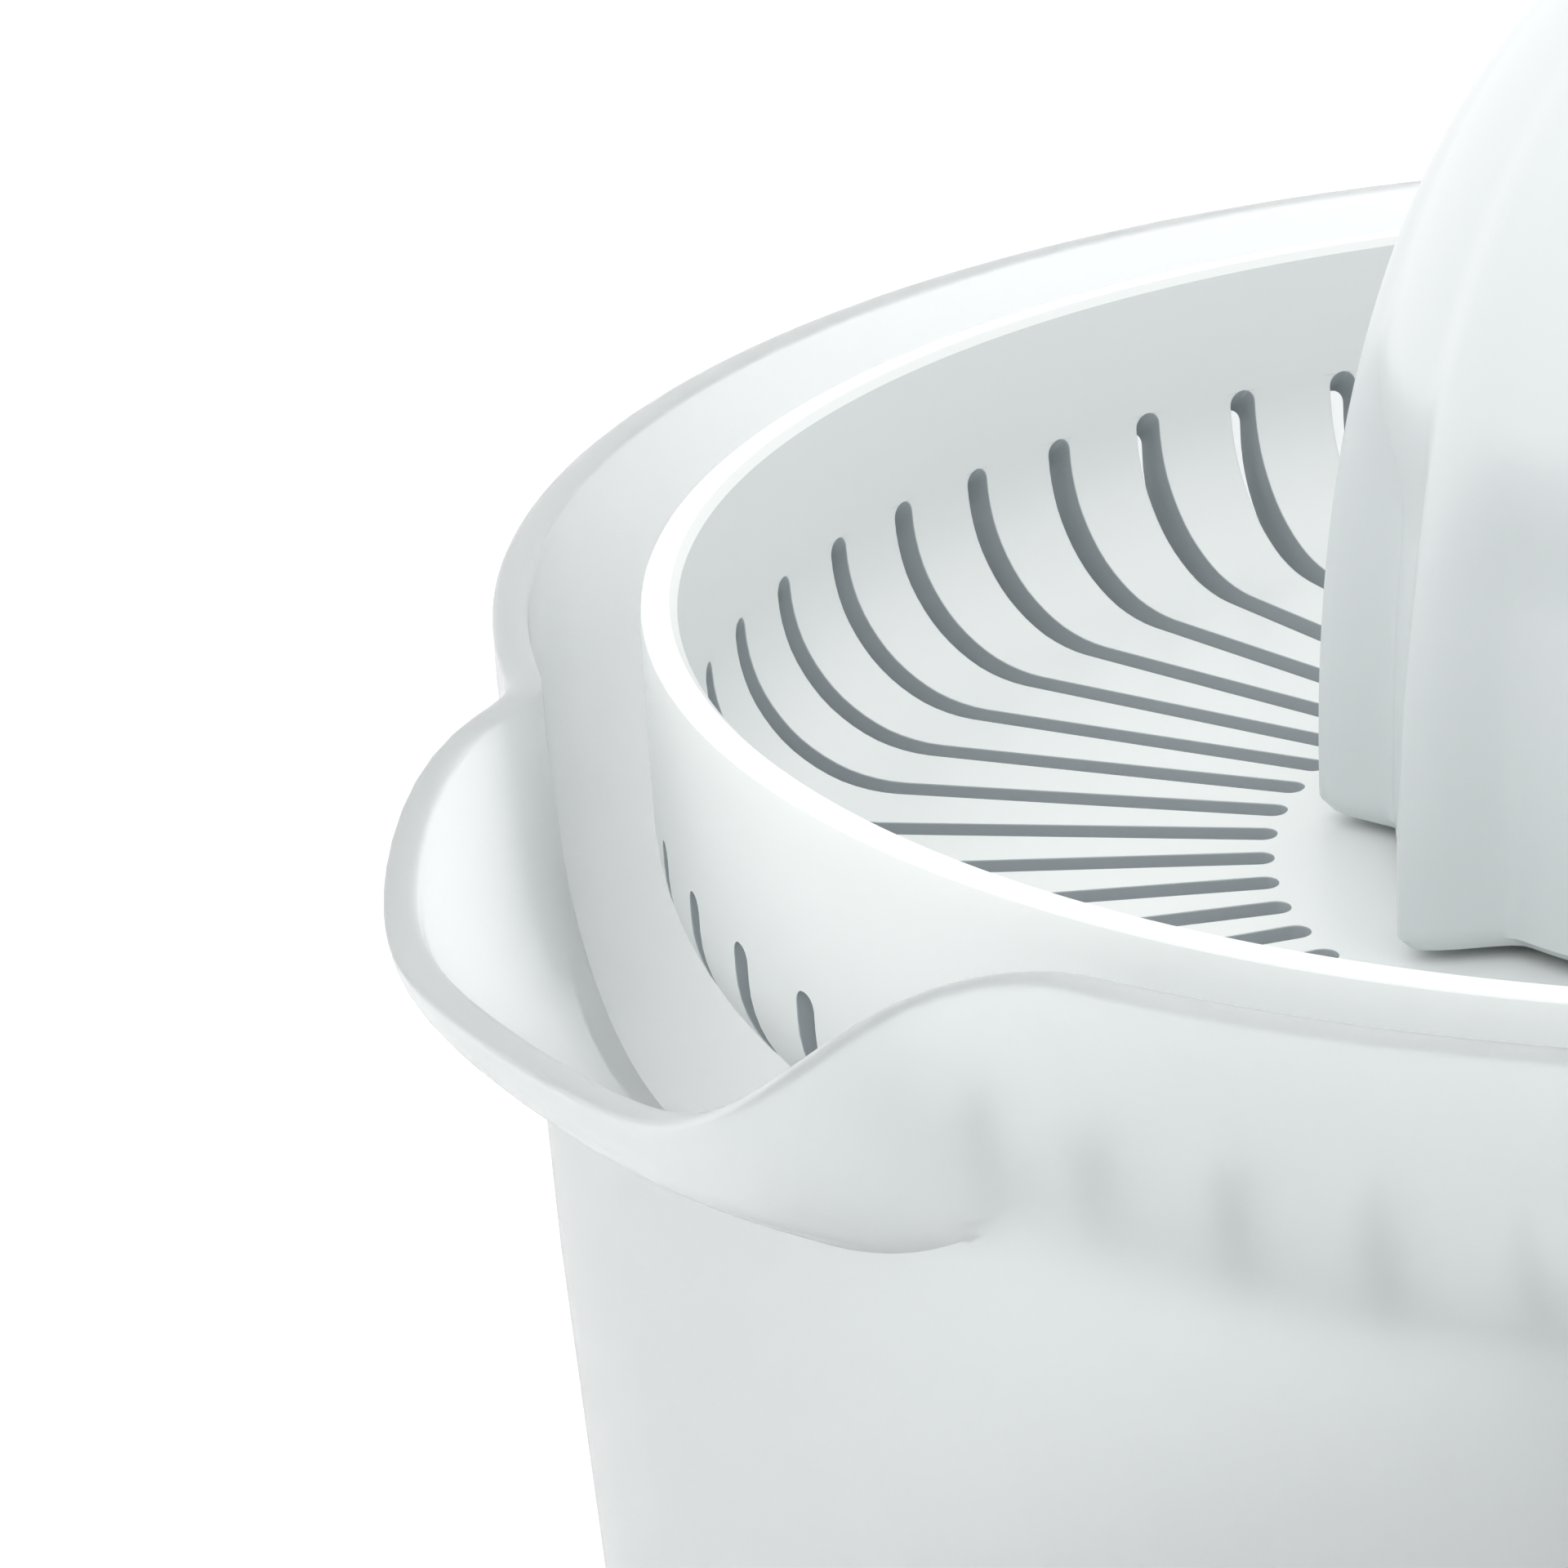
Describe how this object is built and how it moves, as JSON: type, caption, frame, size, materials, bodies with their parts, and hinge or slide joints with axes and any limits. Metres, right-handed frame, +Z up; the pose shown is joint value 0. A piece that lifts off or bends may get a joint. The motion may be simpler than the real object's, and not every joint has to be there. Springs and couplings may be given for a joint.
{
  "type": "electric citrus press",
  "caption": "Electric citrus press: ribbed dome reamer over a slotted strainer in a round translucent jug with a pouring spout and handle, on a round motor base.",
  "frame": {"origin": "centre of the base plate's underside, on the spindle axis", "axes": "+Z up along the spindle; -X towards the pouring spout, +X towards the handle"},
  "size_m": [0.2049, 0.1706, 0.2182],
  "materials": {
    "white_shell": "moulded opaque white plastic, soft satin gloss",
    "milky_jug": "translucent milky polypropylene, satin",
    "white_nylon": "natural nylon, matte",
    "steel": "turned stainless steel",
    "zinc_steel": "zinc-plated sheet steel",
    "bronze": "sintered bronze",
    "copper": "varnished copper winding",
    "black_plastic": "black moulded plastic",
    "grey_rubber": "grey rubber",
    "ferrite": "dark ferrite magnet"
  },
  "bodies": {
    "base": {"base_plate": "black_plastic", "foot_1": "grey_rubber", "foot_2": "grey_rubber", "foot_3": "grey_rubber", "foot_4": "grey_rubber", "plate_screw_1": "zinc_steel", "plate_screw_2": "zinc_steel", "plate_screw_3": "zinc_steel", "plate_screw_4": "zinc_steel", "motor_housing": "white_shell", "cord_gland": "white_shell", "motor_can": "zinc_steel", "motor_coil": "copper", "motor_endplate": "zinc_steel", "idler_pin": "steel", "lower_bush": "bronze", "upper_bush": "bronze", "spindle_seal": "grey_rubber", "bearing_bridge": "zinc_steel", "standoff_1": "zinc_steel", "standoff_2": "zinc_steel", "standoff_3": "zinc_steel", "return_spring": "steel", "switch_body": "black_plastic"},
    "collar": {"thrust_collar": "white_nylon"},
    "spindle": {"drive_spindle": "steel", "output_gear": "white_nylon"},
    "rotor": {"motor_rotor": "ferrite"},
    "idler": {"idler_gear": "white_nylon"},
    "plunger": {"switch_plunger": "white_nylon"},
    "jug": {"juice_jug": "milky_jug"},
    "strainer": {"strainer": "white_shell"},
    "inner_reamer": {"small_reamer": "white_shell"},
    "outer_reamer": {"large_reamer": "white_shell"}
  },
  "joints": [
    {"name": "spindle_press", "type": "slide", "parent": "base", "child": "collar", "axis": [0, 0, -1], "range_m": [0, 0.002], "stiffness_N_per_m": 1500, "springref_m": -0.002, "deforming": ["return_spring"]},
    {"name": "spindle_spin", "type": "hinge", "parent": "collar", "child": "spindle", "pos_m": [0, 0, 0.1], "axis": [0, 0, 1], "continuous": true},
    {"name": "idler_spin", "type": "hinge", "parent": "base", "child": "idler", "pos_m": [-0.03261, 0.01883, 0.045], "axis": [0, 0, 1], "continuous": true},
    {"name": "rotor_spin", "type": "hinge", "parent": "base", "child": "rotor", "pos_m": [-0.04518, -0.00296, 0.02], "axis": [0, 0, 1], "continuous": true},
    {"name": "plunger_press", "type": "slide", "parent": "base", "child": "plunger", "axis": [0, 0, -1], "range_m": [0, 0.002]},
    {"name": "jug_lift", "type": "slide", "parent": "base", "child": "jug", "axis": [0, 0, 1], "range_m": [0, 0.1]},
    {"name": "strainer_lift", "type": "slide", "parent": "jug", "child": "strainer", "axis": [0, 0, 1], "range_m": [0, 0.06]},
    {"name": "reamer_spin", "type": "hinge", "parent": "strainer", "child": "inner_reamer", "pos_m": [0, 0, 0.17], "axis": [0, 0, 1], "continuous": true},
    {"name": "large_reamer_lift", "type": "slide", "parent": "inner_reamer", "child": "outer_reamer", "axis": [0, 0, 1], "range_m": [0, 0.07]}
  ],
  "couplings": [
    {"joint": "idler_spin", "follows": "spindle_spin", "ratio": -4},
    {"joint": "rotor_spin", "follows": "spindle_spin", "ratio": 16},
    {"joint": "reamer_spin", "follows": "spindle_spin", "ratio": 1},
    {"joint": "plunger_press", "follows": "spindle_press", "ratio": 1}
  ]
}
